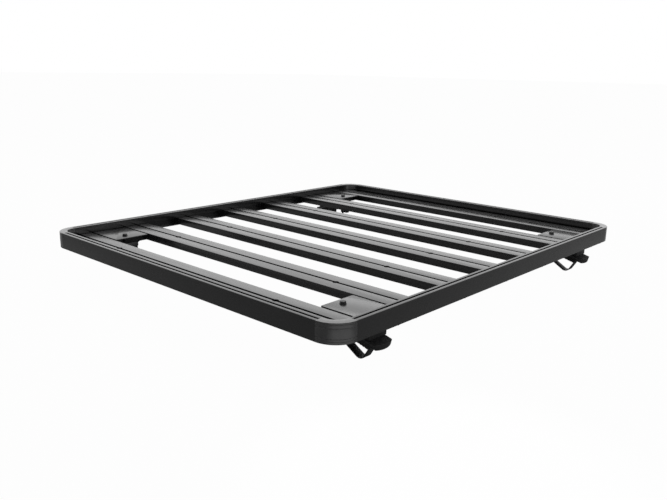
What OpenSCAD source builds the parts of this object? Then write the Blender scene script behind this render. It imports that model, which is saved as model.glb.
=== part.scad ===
// Flat platform roof rack for raised roof rails: an extruded rim with cast corners,
// seven flat T-slot slats let into its sides, and four feet whose straps loop round
// the vehicle's rails. X runs along the slats, Y along the vehicle, Z up. It stands
// on its four strap loops, with the origin on the floor at the middle.

/* [Platform] */
// Width over the side rails
platform_w = 1165; // [900:5:1500]
// Length over the front and rear rails
platform_l = 1358; // [1200:2:2000]
// Height of the floor-to-rail gap, which is how far the strap loops hang
strap_drop = 85; // [80:1:120]

/* [Rim extrusion] */
// Height of the rim
rim_h = 47; // [44:1:60]
// Width of the rim's box, seen as its top
rim_w = 22; // [20:0.5:30]
// Thickness of the rim's outer wall
rim_wall = 3; // [2:0.5:4]
// Thickness of the box's own walls
box_wall = 2.5; // [2:0.5:3.5]
// Height of the rim's box
box_h = 22; // [18:1:24]
// Thickness of the lip that carries the slats
lip_t = 3; // [2:0.5:5]
// Mouth of the slot along the rim's top
rim_slot = 6.5; // [4:0.5:8]
// Outer radius of the corners
corner_r = 60; // [50:1:75]
// Straight stretch at each end of a corner casting
corner_end = 1; // [0.5:0.5:8]
// Length of the spigot that a corner pushes into each rail
spigot_l = 30; // [10:1:60]
// Depth of the grooves round a corner
groove_d = 1; // [0.4:0.1:1.5]
// Height of each of those grooves
groove_h = 1.4; // [0.8:0.1:2]

/* [Slats] */
// Number of slats
slat_count = 7; // [3:1:7]
// Width of a slat
slat_w = 80; // [60:1:100]
// Distance from the platform's end to the first slat
slat_margin = 33; // [28:1:60]
// Wall thickness of a slat
slat_wall = 2; // [1.5:0.1:3]
// Mouth of the slots in a slat
slot_mouth = 8.2; // [6:0.1:10]
// Width of the chamber under a slot's mouth
chamber_w = 16; // [15.5:0.5:20]
// Thickness of the web between the two chambers
web_t = 3; // [2:0.5:5]
// Edge radius of a slat
slat_edge_r = 2; // [1:0.1:2.5]
// Diameter of the holes where a T-bolt drops into a slot
entry_d = 16; // [14:0.5:20]
// Distance from the platform's side to those holes
entry_from_side = 255; // [180:5:320]

/* [Feet] */
// Length of a foot's plate beyond the foot bolt
plate_over = 26; // [16:1:60]
// Gap between a foot's plate and the slats beside it
plate_gap = 7; // [4:0.5:14]
// Thickness of the plate
plate_t = 4; // [3:0.5:5]
// Distance of a foot from the middle of its gap, towards the front
foot_forward = 9; // [0:1:12]
// Distance that the rear feet stand further out than the front ones
rear_out = 6; // [0:1:6]
// Slope of the saddle bar, which is lowest at its outer end, in degrees
clamp_tilt = 15; // [0:1:18]
// Width of the riser, along the vehicle
riser_w = 60; // [40:1:64]
// Distance from the platform's side to a front foot's riser
riser_from_side = 29; // [29:1:42]
// Distance from the riser to the middle of the foot bolt
riser_to_bolt = 36; // [12:1:50]
// Width of the saddle bar, along the vehicle
bar_w = 62; // [56:1:72]
// Thickness of the saddle bar
bar_h = 14; // [12:0.5:18]
// Distance from the rim's underside to the middle of the bar's outer end
bar_below = 41; // [36:1:47]
// Distance from the platform's side to a front foot's bar
bar_from_side = 7; // [7:1:14]
// Length of the saddle bar
bar_l = 154; // [130:1:177]
// Bulge of the bar's outer end past its corners
bar_bulge = 8; // [1:1:12]
// Distance from the foot bolt to the bar's inner end
bolt_from_end = 24; // [16:1:30]
// Width of the rubber pad under the bar
pad_w = 50; // [40:1:60]
// Thickness of the pad
pad_t = 10; // [6:0.5:12]
// Distance along the bar from its outer end to the pad
pad_from_end = 26; // [20:1:30]
// Distance from the pad to the middle of the foot bolt
pad_to_bolt = 26; // [20:1:40]
// Clearance beside the band in the pad's notch
notch_gap = 1; // [0.5:0.5:3]
// Distance along the bar from the band's outer bend to the notch's end
notch_l = 7; // [6:0.5:12]

/* [Straps] */
// Width of the strap band
strap_w = 24; // [18:1:40]
// Thickness of the strap band
strap_t = 3; // [2:0.5:4]
// Bend radius at the bottom of the loop
loop_r = 15; // [10:1:18]
// Distance from the platform's side to the bottom of a front foot's loop
loop_from_side = 71; // [64:1:82]
// Bend radius where the band turns out to its tabs
tab_r = 6; // [5:0.5:8]
// Distance along the bar from its outer end to the band's outer bend
tab_from_end = 28; // [24:1:33]
// Length of the band's outer tab, which is welded to the bar
tab_out = 13; // [11:1:16]
// Height of the band's inner tab above the loop's lowest point
tab_up = 27; // [20:1:32]
// Length of the inner tab beyond the foot bolt
tab_over = 14; // [10:1:18]

/* [Fasteners] */
// Diameter of a foot bolt
foot_bolt_d = 8; // [6:1:10]
// Width across flats of its head and nut
foot_bolt_af = 13; // [12:0.5:15]
// Height of its head
foot_head_h = 5.3; // [4:0.1:7]
// Diameter of its washer
foot_washer_d = 17; // [16:0.5:22]
// Thickness of its washer
foot_washer_t = 1.6; // [1:0.2:3]
// Height of its nut
foot_nut_h = 6.5; // [5:0.5:8]
// Diameter of a rim bolt, which holds a slat or a plate to the lip
rim_bolt_d = 8; // [6:1:8]
// Width across flats of its head and nut
rim_bolt_af = 13; // [10:0.5:13]
// Height of its head
rim_head_h = 5.3; // [4:0.1:6]
// Height of its nut
rim_nut_h = 6; // [4:0.1:6.5]
// Spacing of the two rim bolts that hold a plate
plate_bolt_pitch = 70; // [40:2:80]

/* [Hidden] */
$fn = 48;
// Clearance between pieces that slide into one another
fit = 0.3;
// Clearance of a bolt in its hole
bolt_play = 0.2;
// Length of thread that stands out of a nut
thread_over = 3;
// Segments of each rounded bend in an outline
bend_n = 8;
// Overlap of a cutting shape past the face that it cuts
cut = 1;

rail_z = strap_drop;
box_z = rail_z + rim_h - box_h;
lip_z = rail_z + lip_t;
slat_h = box_z - lip_z - fit;
deck_z = lip_z + slat_h;
corner_l = corner_r + corner_end;
slat_pitch = (platform_l - 2 * slat_margin - slat_w) / (slat_count - 1);
gap_y = platform_l / 2 - slat_margin - slat_w / 2 - slat_pitch / 2;
plate_w = slat_pitch - slat_w - 2 * plate_gap;
bar_z = rail_z - bar_below;
// What follows a front foot's bolt, as distances from the platform's side
bolt_from_side = bar_from_side + (bar_l - bolt_from_end) * cos(clamp_tilt);
plate_reach = bolt_from_side + plate_over;
riser_end = bolt_from_side - riser_to_bolt;
// The rim bolts stand in the middle of the plates' flanges
rim_bolt_in = (rim_wall + plate_t + rim_w) / 2;
// Grooves round a corner, as depths below its top
groove_depths = [4, 12, 35, 41];

// Helpers for bent outlines

function unit(v) = v / norm(v);
function turn(v, a) = [v[0] * cos(a) - v[1] * sin(a), v[0] * sin(a) + v[1] * cos(a)];
function reversed(list) = [for (i = [len(list) - 1 : -1 : 0]) list[i]];

// Points of the arc of radius r that rounds the corner at b, between a and c
function bend(a, b, c, r) =
    let (to_a = unit(a - b), to_c = unit(c - b), half = acos(to_a * to_c) / 2)
    let (centre = b + unit(to_a + to_c) * r / sin(half), start = b + to_a * r / tan(half) - centre)
    let (way = to_a[0] * to_c[1] - to_a[1] * to_c[0] > 0 ? -1 : 1, sweep = 180 - 2 * half)
    [for (i = [0 : bend_n]) centre + turn(start, way * sweep * i / bend_n)];

// Points along one side of a path, at the distance d from it
function beside(path, d) =
    [for (i = [0 : len(path) - 1])
        let (before = unit(path[max(i, 1)] - path[max(i, 1) - 1]))
        let (after = unit(path[min(i + 1, len(path) - 1)] - path[min(i, len(path) - 2)]))
        let (mid = unit(before + after))
        path[i] + turn(mid, 90) * d / (mid * before)];

// Flat band of thickness t along a path
module band(path, t) {
    polygon(concat(beside(path, t / 2), reversed(beside(path, -t / 2))));
}

// Rectangle from corner to corner, with round corners
module round_box(low, high, r) {
    translate(low + [r, 0]) square(high - low - [2 * r, 0]);
    translate(low + [0, r]) square(high - low - [0, 2 * r]);
    for (x = [low[0] + r, high[0] - r], y = [low[1] + r, high[1] - r])
        translate([x, y]) circle(r);
}

// Lays a section drawn as [inward, up] along X, with its outer face on the plane y = 0
module along_x(length) {
    translate([-length / 2, 0, 0]) rotate([90, 0, 90]) linear_extrude(length) children();
}

// Rim

// Section of the rails: x from the outer face inwards, y up from the rail's underside
module rail_section() {
    top = rim_h - box_h;
    difference() {
        union() {
            square([rim_wall, rim_h]);
            translate([0, top]) square([rim_w, box_h]);
            square([rim_w, lip_t]);
        }
        translate([rim_wall, top + box_wall])
            square([rim_w - rim_wall - box_wall, box_h - 2 * box_wall]);
        translate([slot_mid() - rim_slot / 2, rim_h - box_wall - cut])
            square([rim_slot, box_wall + 2 * cut]);
    }
}

function slot_mid() = (rim_wall + rim_w - box_wall) / 2;

// A rail along X with its outer face towards -Y
module rail(length) {
    color("#2b2c2e") translate([0, 0, rail_z]) along_x(length) rail_section();
}

module front_rail() {
    translate([0, -platform_l / 2, 0]) rail(platform_w - 2 * corner_l);
}

module rear_rail() {
    mirror([0, 1, 0]) front_rail();
}

module rim_bolt_holes() {
    for (p = rim_bolt_places())
        translate([platform_w / 2 - rim_bolt_in, p, rail_z - cut])
            cylinder(d = rim_bolt_d + 2 * bolt_play, h = lip_t + 2 * cut);
}

function slat_places() = [for (i = [0 : slat_count - 1]) (i - (slat_count - 1) / 2) * slat_pitch];
function plate_bolt_places() = [for (e = [-1, 1], s = [-1, 1]) e * gap_y + s * plate_bolt_pitch / 2];
function rim_bolt_places() = concat(slat_places(), plate_bolt_places());

module right_rail() {
    difference() {
        translate([platform_w / 2, 0, 0]) rotate(90) rail(platform_l - 2 * corner_l);
        rim_bolt_holes();
    }
}

module left_rail() {
    mirror([1, 0, 0]) right_rail();
}

// Section of a corner casting, which has a solid top and grooves round its face
module corner_section() {
    difference() {
        union() {
            square([rim_wall, rim_h]);
            translate([0, rim_h - box_h]) square([rim_w, box_h]);
            square([rim_w, lip_t]);
        }
        for (d = groove_depths)
            translate([-cut, rim_h - d - groove_h / 2]) square([groove_d + cut, groove_h]);
    }
}

// Casting for the front left corner, with its outer corner at the origin
module corner_casting() {
    spigot = [spigot_l + cut, rim_w - rim_wall - box_wall - 2 * fit, box_h - 2 * box_wall - 2 * fit];
    color("#3a3b3d") {
        translate([corner_r, corner_r, 0]) rotate(180)
            rotate_extrude(angle = 90) translate([corner_r, 0]) mirror([1, 0]) corner_section();
        for (flip = [0, 1]) mirror([flip, -flip, 0]) {
            translate([corner_r + corner_end / 2, 0, 0]) along_x(corner_end) corner_section();
            translate([corner_l - cut, rim_wall + fit, rim_h - box_h + box_wall + fit]) cube(spigot);
        }
    }
}

// side is -1 for left and 1 for right, way is -1 for front and 1 for rear
module corner(side, way) {
    mirror([side > 0 ? 1 : 0, 0, 0]) mirror([0, way > 0 ? 1 : 0, 0])
        translate([-platform_w / 2, -platform_l / 2, rail_z]) corner_casting();
}

// Slats

// Section of a slat: x across it, y up from its underside
module slat_section() {
    chamber_h = (slat_h - web_t) / 2 - slat_wall;
    cell_w = (slat_w - chamber_w) / 2 - 2 * slat_wall;
    difference() {
        round_box([-slat_w / 2, 0], [slat_w / 2, slat_h], slat_edge_r);
        for (y = [slat_wall, slat_h - slat_wall - chamber_h])
            translate([-chamber_w / 2, y]) square([chamber_w, chamber_h]);
        for (y = [-cut, slat_h - slat_wall - cut])
            translate([-slot_mouth / 2, y]) square([slot_mouth, slat_wall + 2 * cut]);
        for (x = [-slat_w / 2 + slat_wall, slat_w / 2 - slat_wall - cell_w])
            translate([x, slat_wall]) square([cell_w, slat_h - 2 * slat_wall]);
    }
}

// Room inside the rim's outer wall, which trims the end slats to the round corners
module inside_rim() {
    half = [platform_w, platform_l] / 2 - [1, 1] * (rim_wall + fit);
    linear_extrude(rail_z + rim_h) round_box(-half, half, corner_r - rim_wall - fit);
}

module slat(i) {
    color("#55575a") intersection() {
        inside_rim();
        translate([0, slat_places()[i], 0]) difference() {
            translate([0, 0, lip_z]) along_x(platform_w) slat_section();
            for (s = [-1, 1])
                translate([s * (platform_w / 2 - entry_from_side), 0, deck_z - slat_wall - cut])
                    cylinder(d = entry_d, h = slat_wall + 2 * cut);
        }
    }
}

// Feet: each piece is drawn for the front right foot at the origin's Y

function out(way) = way > 0 ? rear_out : 0;

// Puts a plate in its gap between two slats
module at_gap(side, way) {
    mirror([side < 0 ? 1 : 0, 0, 0]) translate([0, way * gap_y, 0]) children();
}

// Puts a piece of a foot in its place
module at_foot(side, way) {
    at_gap(side, way) translate([out(way), -foot_forward, 0]) children();
}

// Turns a profile drawn as [distance from the platform's side, height] into a solid
module across(width) {
    translate([platform_w / 2, width / 2, 0]) rotate([90, 0, 0]) mirror([1, 0, 0])
        linear_extrude(width) children();
}

// Point of that profile at the distance along the bar from its outer end, and above its middle
function on_bar(along, above) = [bar_from_side, bar_z] + turn([along, above], clamp_tilt);

// Point of the bar's top at a distance from the platform's side
function bar_top(from_side) =
    [from_side, bar_z + (from_side - bar_from_side) * tan(clamp_tilt) + bar_h / 2 / cos(clamp_tilt)];

module bolt_hole(z, h) {
    translate([platform_w / 2 - bolt_from_side, 0, z - cut])
        cylinder(d = foot_bolt_d + 2 * bolt_play, h = h + 2 * cut);
}

// Plate level with the slats, whose outer end is a channel that sits in the rim
module plate(way) {
    start = rim_wall + fit;
    end = rim_w - fit;
    reach = plate_reach - out(way);
    color("#55575a") difference() {
        across(plate_w) difference() {
            translate([start, lip_z]) square([reach - start, slat_h]);
            translate([start + plate_t, lip_z + plate_t]) square([reach, slat_h - 2 * plate_t]);
            translate([end, lip_z - cut]) square([reach, plate_t + 2 * cut]);
        }
        translate([out(way), -foot_forward, 0]) bolt_hole(deck_z - plate_t, plate_t);
        for (s = [-1, 1])
            translate([platform_w / 2 - rim_bolt_in, s * plate_bolt_pitch / 2, lip_z - cut])
                cylinder(d = rim_bolt_d + 2 * bolt_play, h = plate_t + 2 * cut);
    }
}

// Block that carries the plate on the sloping bar
module riser() {
    top = deck_z - plate_t;
    color("#1d1e20") across(riser_w) polygon([
        bar_top(riser_from_side), bar_top(riser_end), [riser_end, top], [riser_from_side, top]]);
}

// Sloping bar across the vehicle's rail, with full-round long edges and a bulging end
module saddle() {
    bulge_r = (pow(bar_w / 2, 2) + pow(bar_bulge, 2)) / (2 * bar_bulge);
    color("#1d1e20") difference() {
        translate([platform_w / 2 - bar_from_side, 0, bar_z]) rotate([0, clamp_tilt, 0]) difference() {
            translate([-bar_l / 2, 0, 0]) along_x(bar_l) {
                square([bar_w - bar_h, bar_h], center = true);
                for (s = [-1, 1]) translate([s * (bar_w - bar_h) / 2, 0]) circle(bar_h / 2);
            }
            difference() {
                translate([-bar_bulge - cut, -bar_w / 2 - cut, -bar_h / 2 - cut])
                    cube([bar_bulge + 2 * cut, bar_w + 2 * cut, bar_h + 2 * cut]);
                translate([-bulge_r, 0, -bar_h]) cylinder(r = bulge_r, h = 2 * bar_h, $fn = 192);
            }
        }
        bolt_hole(bar_z, deck_z - bar_z);
    }
}

// Area from start to end along the bar, and from the bar's underside down by depth
module under_bar(start, end, depth) {
    polygon([for (p = [[start, 0], [start, -depth], [end, -depth], [end, 0]])
        on_bar(p[0], p[1] - bar_h / 2)]);
}

// Rubber pad under the bar, which rests on the vehicle's rail. Its outer end is notched,
// as the band's outer limb rises to the bar there.
module saddle_pad() {
    notch = tab_from_end + notch_l;
    color("#141414") difference() {
        across(pad_w) under_bar(pad_from_end, bar_l - bolt_from_end - pad_to_bolt, pad_t);
        across(strap_w + 2 * notch_gap) under_bar(pad_from_end - cut, notch, pad_t + cut);
        across(strap_w + 2 * notch_gap) under_bar(pad_from_end - cut, notch, -cut);
    }
}

// Middle of the band, from its inner tab round the loop to its outer tab. The loop is
// drawn in two halves that meet at its lowest point, so that it stands on the floor.
function strap_path() =
    let (tab_z = tab_up + strap_t / 2, below = -(bar_h + strap_t) / 2, r = loop_r + strap_t / 2)
    let (inner_end = [bolt_from_side + tab_over, tab_z])
    let (inner_bend = [bolt_from_side - foot_bolt_af / 2 - tab_r, tab_z])
    let (outer_bend = on_bar(tab_from_end, below), outer_end = on_bar(tab_from_end - tab_out, below))
    let (centre = [loop_from_side, strap_t / 2 + r])
    let (in_arm = inner_bend - centre, out_arm = outer_bend - centre)
    let (from = atan2(in_arm[1], in_arm[0]) - acos(r / norm(in_arm)))
    let (to = atan2(out_arm[1], out_arm[0]) - 360 + acos(r / norm(out_arm)))
    let (lowest = -90, step_in = (lowest - from) / bend_n, step_out = (to - lowest) / bend_n)
    let (angles = [for (i = [0 : 2 * bend_n]) lowest + (i - bend_n) * (i < bend_n ? step_in : step_out)])
    let (loop = [for (a = angles) centre + r * [cos(a), sin(a)]])
    concat([inner_end], bend(inner_end, inner_bend, loop[0], tab_r), loop,
        bend(loop[2 * bend_n], outer_bend, outer_end, tab_r), [outer_end]);

// Flat steel band that loops under the vehicle's rail, from the bar to the foot bolt
module strap() {
    color("#222326") difference() {
        across(strap_w) band(strap_path(), strap_t);
        bolt_hole(tab_up, strap_t);
    }
}

// Hexagon bar of a bolt head or a nut
module hexagon(across_flats, h) {
    cylinder(d = across_flats / cos(30), h = h, $fn = 6);
}

// Bolt from the plate down through the saddle bar and the band's inner tab
module foot_bolt() {
    low = tab_up - foot_nut_h - thread_over;
    color("#101010") translate([platform_w / 2 - bolt_from_side, 0, 0]) {
        translate([0, 0, deck_z + foot_washer_t]) hexagon(foot_bolt_af, foot_head_h);
        translate([0, 0, deck_z]) cylinder(d = foot_washer_d, h = foot_washer_t);
        translate([0, 0, low]) cylinder(d = foot_bolt_d, h = deck_z + foot_washer_t - low);
    }
}

module foot_nut() {
    color("#101010") translate([platform_w / 2 - bolt_from_side, 0, tab_up - foot_nut_h])
        difference() {
            hexagon(foot_bolt_af, foot_nut_h);
            translate([0, 0, -cut]) cylinder(d = foot_bolt_d + bolt_play, h = foot_nut_h + 2 * cut);
        }
}

// Rim bolts of one side, with their heads under the lip
module rim_bolts() {
    color("#101010") {
        for (p = slat_places()) rim_bolt(p, lip_t + slat_wall);
        for (p = plate_bolt_places()) rim_bolt(p, lip_t + plate_t);
    }
}

// grip is the thickness that the bolt clamps
module rim_bolt(place, grip) {
    translate([platform_w / 2 - rim_bolt_in, place, rail_z]) {
        translate([0, 0, -rim_head_h]) rotate(30) hexagon(rim_bolt_af, rim_head_h);
        cylinder(d = rim_bolt_d, h = grip + rim_nut_h);
    }
}

// Nuts of one side: in the slats' lower chambers, and on the plates' channels
module rim_nuts() {
    color("#101010") {
        for (p = slat_places()) rim_nut(p, lip_z + slat_wall);
        for (p = plate_bolt_places()) rim_nut(p, lip_z + plate_t);
    }
}

module rim_nut(place, z) {
    translate([platform_w / 2 - rim_bolt_in, place, z]) difference() {
        rotate(30) hexagon(rim_bolt_af, rim_nut_h);
        translate([0, 0, -cut]) cylinder(d = rim_bolt_d + bolt_play, h = rim_nut_h + 2 * cut);
    }
}

front_rail();
rear_rail();
left_rail();
right_rail();
corner(-1, -1);  // corner_front_left
corner(1, -1);  // corner_front_right
corner(-1, 1);  // corner_rear_left
corner(1, 1);  // corner_rear_right
slat(0);  // slat_1
slat(1);  // slat_2
slat(2);  // slat_3
slat(3);  // slat_4
slat(4);  // slat_5
slat(5);  // slat_6
slat(6);  // slat_7
at_gap(-1, -1) plate(-1);  // plate_front_left
at_gap(1, -1) plate(-1);  // plate_front_right
at_gap(-1, 1) plate(1);  // plate_rear_left
at_gap(1, 1) plate(1);  // plate_rear_right
at_foot(-1, -1) riser();  // riser_front_left
at_foot(1, -1) riser();  // riser_front_right
at_foot(-1, 1) riser();  // riser_rear_left
at_foot(1, 1) riser();  // riser_rear_right
at_foot(-1, -1) saddle();  // saddle_front_left
at_foot(1, -1) saddle();  // saddle_front_right
at_foot(-1, 1) saddle();  // saddle_rear_left
at_foot(1, 1) saddle();  // saddle_rear_right
at_foot(-1, -1) strap();  // strap_front_left
at_foot(1, -1) strap();  // strap_front_right
at_foot(-1, 1) strap();  // strap_rear_left
at_foot(1, 1) strap();  // strap_rear_right
at_foot(-1, -1) foot_bolt();  // foot_bolt_front_left
at_foot(1, -1) foot_bolt();  // foot_bolt_front_right
at_foot(-1, 1) foot_bolt();  // foot_bolt_rear_left
at_foot(1, 1) foot_bolt();  // foot_bolt_rear_right
for (s = [-1, 1], e = [-1, 1]) at_foot(s, e) foot_nut();  // foot_nuts
for (e = [-1, 1]) at_foot(-1, e) saddle_pad();  // saddle_pads_left
for (e = [-1, 1]) at_foot(1, e) saddle_pad();  // saddle_pads_right
mirror([1, 0, 0]) rim_bolts();  // rim_bolts_left
rim_bolts();  // rim_bolts_right
mirror([1, 0, 0]) rim_nuts();  // rim_nuts_left
rim_nuts();  // rim_nuts_right
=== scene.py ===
"""Flat platform roof rack for raised roof rails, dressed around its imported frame."""

import math

import bmesh
import bpy
from bpy.props import FloatProperty, FloatVectorProperty, IntProperty, PointerProperty
from bpy.types import Operator, Panel, PropertyGroup
from mathutils import Matrix, Vector


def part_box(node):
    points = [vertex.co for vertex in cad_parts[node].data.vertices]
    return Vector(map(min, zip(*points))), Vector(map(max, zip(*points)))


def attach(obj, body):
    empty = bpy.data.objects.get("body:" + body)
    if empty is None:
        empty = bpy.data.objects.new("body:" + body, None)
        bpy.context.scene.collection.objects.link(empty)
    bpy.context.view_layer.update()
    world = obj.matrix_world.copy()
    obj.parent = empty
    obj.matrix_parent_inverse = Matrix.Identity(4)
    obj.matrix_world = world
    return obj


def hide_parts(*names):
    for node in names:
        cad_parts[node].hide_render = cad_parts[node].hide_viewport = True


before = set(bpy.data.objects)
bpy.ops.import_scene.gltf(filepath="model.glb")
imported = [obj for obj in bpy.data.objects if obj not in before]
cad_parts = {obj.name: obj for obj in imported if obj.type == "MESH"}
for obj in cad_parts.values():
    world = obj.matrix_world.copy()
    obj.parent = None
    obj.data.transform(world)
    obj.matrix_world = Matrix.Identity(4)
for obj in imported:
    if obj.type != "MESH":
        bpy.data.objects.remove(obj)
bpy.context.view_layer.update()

bl_info = {
    "name": "Platform Roof Rack",
    "version": (1, 0, 0),
    "blender": (4, 5, 0),
    "location": "3D View > Sidebar > Rack",
    "description": "Builds the rails, corners, slats, feet and finishes of a flat platform roof rack",
    "category": "Add Mesh",
}

MM = 0.001

# Places that follow from the frame, in metres

RIM_LOW, RIM_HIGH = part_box("front_rail")
RIM_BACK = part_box("rear_rail")[1]
SIDE_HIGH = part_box("right_rail")[1]
CORNER_LOW, CORNER_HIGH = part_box("corner_front_left")
SLAT_LOW, SLAT_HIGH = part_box("slat_2")
PLATE_LOW, PLATE_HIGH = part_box("plate_front_right")
RISER_LOW, RISER_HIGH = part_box("riser_front_right")
SADDLE_LOW, SADDLE_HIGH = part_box("saddle_front_right")
STRAP_LOW, STRAP_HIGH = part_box("strap_front_right")
BOLT_LOW, BOLT_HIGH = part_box("foot_bolt_front_right")
RIM_BOLT_LOW, RIM_BOLT_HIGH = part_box("rim_bolts_right")
FOOT_NUT_LOW, FOOT_NUT_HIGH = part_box("foot_nuts")

HALF_W = SIDE_HIGH[0]
HALF_L = RIM_BACK[1]
RAIL_Z = RIM_LOW[2]
RIM_H = RIM_HIGH[2] - RIM_LOW[2]
RIM_W = RIM_HIGH[1] - RIM_LOW[1]
DECK_Z = SLAT_HIGH[2]
SLAT_Z = SLAT_LOW[2]
SLAT_W = SLAT_HIGH[1] - SLAT_LOW[1]
SLAT_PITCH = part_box("slat_3")[0][1] - SLAT_LOW[1]
GAP_Y = -(PLATE_LOW[1] + PLATE_HIGH[1]) / 2
BOLT_X, BOLT_Y = (BOLT_LOW[0] + BOLT_HIGH[0]) / 2, (BOLT_LOW[1] + BOLT_HIGH[1]) / 2
SLATS = ["slat_%d" % (i + 1) for i in range(7)]
FEET = [("front_left", -1, -1), ("front_right", 1, -1), ("rear_left", -1, 1), ("rear_right", 1, 1)]
SIDES = [("left", -1), ("right", 1)]

# Sizes of an M8 bolt and its nut

BOLT_R = 4 * MM
FLATS = 13 * MM
HEAD_H = 5.3 * MM


def millimetres(name, note, value, low, high):
    """Length property whose default and limits are given in millimetres."""
    return FloatProperty(name=name, description=note, default=value * MM, min=low * MM, max=high * MM,
                         unit="LENGTH")


class RackSizes(PropertyGroup):
    """Sizes that the frame doesn't give, with the edge radii of the real pieces."""

    rim_slot: millimetres("Rim slot", "Mouth of the slot along the rim's top", 6.5, 4, 8)
    rim_wall: millimetres("Rim wall", "Thickness of the rim's outer wall", 3, 2, 4)
    box_wall: millimetres("Box wall", "Thickness of the rim box's own walls", 2.5, 2, 3.5)
    box_h: millimetres("Box height", "Height of the rim's box", 22, 18, 24)
    lip_t: millimetres("Lip", "Thickness of the lip that carries the slats", 3, 2, 5)
    corner_r: millimetres("Corner radius", "Outer radius of the corner castings", 60, 50, 75)
    corner_end: millimetres("Corner end", "Straight stretch at each end of a corner", 1, 0.5, 8)
    groove_d: millimetres("Groove depth", "Depth of the grooves round a corner", 1, 0.5, 1.5)
    groove_h: millimetres("Groove height", "Height of the grooves round a corner", 1.4, 0.8, 2)
    joint_gap: millimetres("Joint gap", "Hairline gap between a rail and a corner", 0.08, 0, 1)
    slat_wall: millimetres("Slat wall", "Wall thickness of a slat", 2, 1.5, 3)
    slot_mouth: millimetres("Slot mouth", "Mouth of the slots in a slat", 8.2, 6, 10)
    chamber_w: millimetres("Chamber width", "Width of the chamber under a slot", 16, 15, 20)
    web_t: millimetres("Web", "Thickness of the web between a slat's two chambers", 3, 2, 5)
    entry_d: millimetres("Entry hole", "Diameter of the T-bolt entry holes", 16, 14, 20)
    entry_from_side: millimetres("Entry place", "Distance from the side to the entry holes", 255, 180, 320)
    edge_r: millimetres("Edge radius", "Radius on the extrusions' outer edges", 0.8, 0.2, 2)
    lip_r: millimetres("Lip radius", "Radius on the slots' lips", 0.25, 0.1, 0.8)
    plate_t: millimetres("Plate thickness", "Thickness of the feet's plates", 4, 3, 5)
    clamp_tilt: FloatProperty(name="Clamp slope", description="Slope of the saddle bars",
                              default=math.radians(15), min=0.0, max=math.radians(18), subtype="ANGLE")
    tab_from_end: millimetres("Outer bend", "Distance along the bar to the band's outer bend", 28, 24, 33)
    tab_out: millimetres("Outer tab", "Length of the band's outer tab", 13, 11, 16)
    tab_up: millimetres("Inner tab", "Height of the band's inner tab", 27, 20, 32)
    tab_hold: millimetres("Inner tab's reach", "Flat part of the inner tab outside the bolt", 6.5, 6, 9)
    tab_r: millimetres("Tab bend", "Bend radius where the band turns to its tabs", 6, 5, 8)
    loop_r: millimetres("Loop radius", "Bend radius at the bottom of the loop", 15, 10, 18)
    loop_from_side: millimetres("Loop place", "Distance from the side to a front foot's loop", 71, 64, 82)
    strap_t: millimetres("Band thickness", "Thickness of the strap band", 3, 2, 4)
    bar_bulge: millimetres("Bar bulge", "Bulge of a bar's outer end past its corners", 8, 1, 12)
    notch_l: millimetres("Notch", "Distance along the bar from the outer bend to the notch", 7, 6, 12)
    pad_from_end: millimetres("Pad place", "Distance along the bar from its outer end to the pad", 26, 20, 30)
    pad_t: millimetres("Pad thickness", "Thickness of the rubber pads", 10, 6, 12)
    pad_w: millimetres("Pad width", "Width of the rubber pads along the vehicle", 50, 40, 60)
    pad_l: millimetres("Pad length", "Length of the rubber pads along the bar", 78, 40, 95)
    head_l: millimetres("Head length", "Length of a casting's head across the vehicle", 30, 20, 31)
    head_w: millimetres("Head width", "Width of a casting's head where it straddles the bar", 94, 70, 98)
    head_foot: millimetres("Head depth", "Depth of the head's cheeks below the slats", 52, 8, 54)
    flange_t: millimetres("Flange", "Thickness of the head's flange under the slats", 4, 2.5, 6)
    flange_over: millimetres("Flange reach", "Reach of the flange under a slat", 12, 6, 20)
    flange_r: millimetres("Flange fillet", "Fillet between the flange and the head's cheeks", 11, 4, 16)
    cast_edge: millimetres("Cast edge", "Edge rounding of the foot castings", 1.6, 0.4, 3)
    bend_steps: IntProperty(name="Bend steps", description="Segments of a quarter bend",
                            default=16, min=4, max=48)


class RackFinish(PropertyGroup):
    """Colours and gloss of the finishes."""

    coat: FloatVectorProperty(name="Coat", description="Powder coat on the slats and the rim", size=3,
                              default=(0.0060, 0.0060, 0.0064), min=0.0, max=1.0, subtype="COLOR")
    cast: FloatVectorProperty(name="Cast", description="Coat on the corner castings", size=3,
                              default=(0.0065, 0.0065, 0.0070), min=0.0, max=1.0, subtype="COLOR")
    foot: FloatVectorProperty(name="Foot", description="Coat on the foot castings", size=3,
                              default=(0.0060, 0.0060, 0.0065), min=0.0, max=1.0, subtype="COLOR")
    steel: FloatVectorProperty(name="Steel", description="Black steel of straps and bolts", size=3,
                               default=(0.0060, 0.0060, 0.0065), min=0.0, max=1.0, subtype="COLOR")
    rubber: FloatVectorProperty(name="Rubber", description="Rubber of the saddle pads", size=3,
                                default=(0.0070, 0.0070, 0.0070), min=0.0, max=1.0, subtype="COLOR")
    coat_rough: FloatProperty(name="Coat roughness", description="Roughness of the powder coat",
                              default=0.28, min=0.1, max=0.9, subtype="FACTOR")


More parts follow.
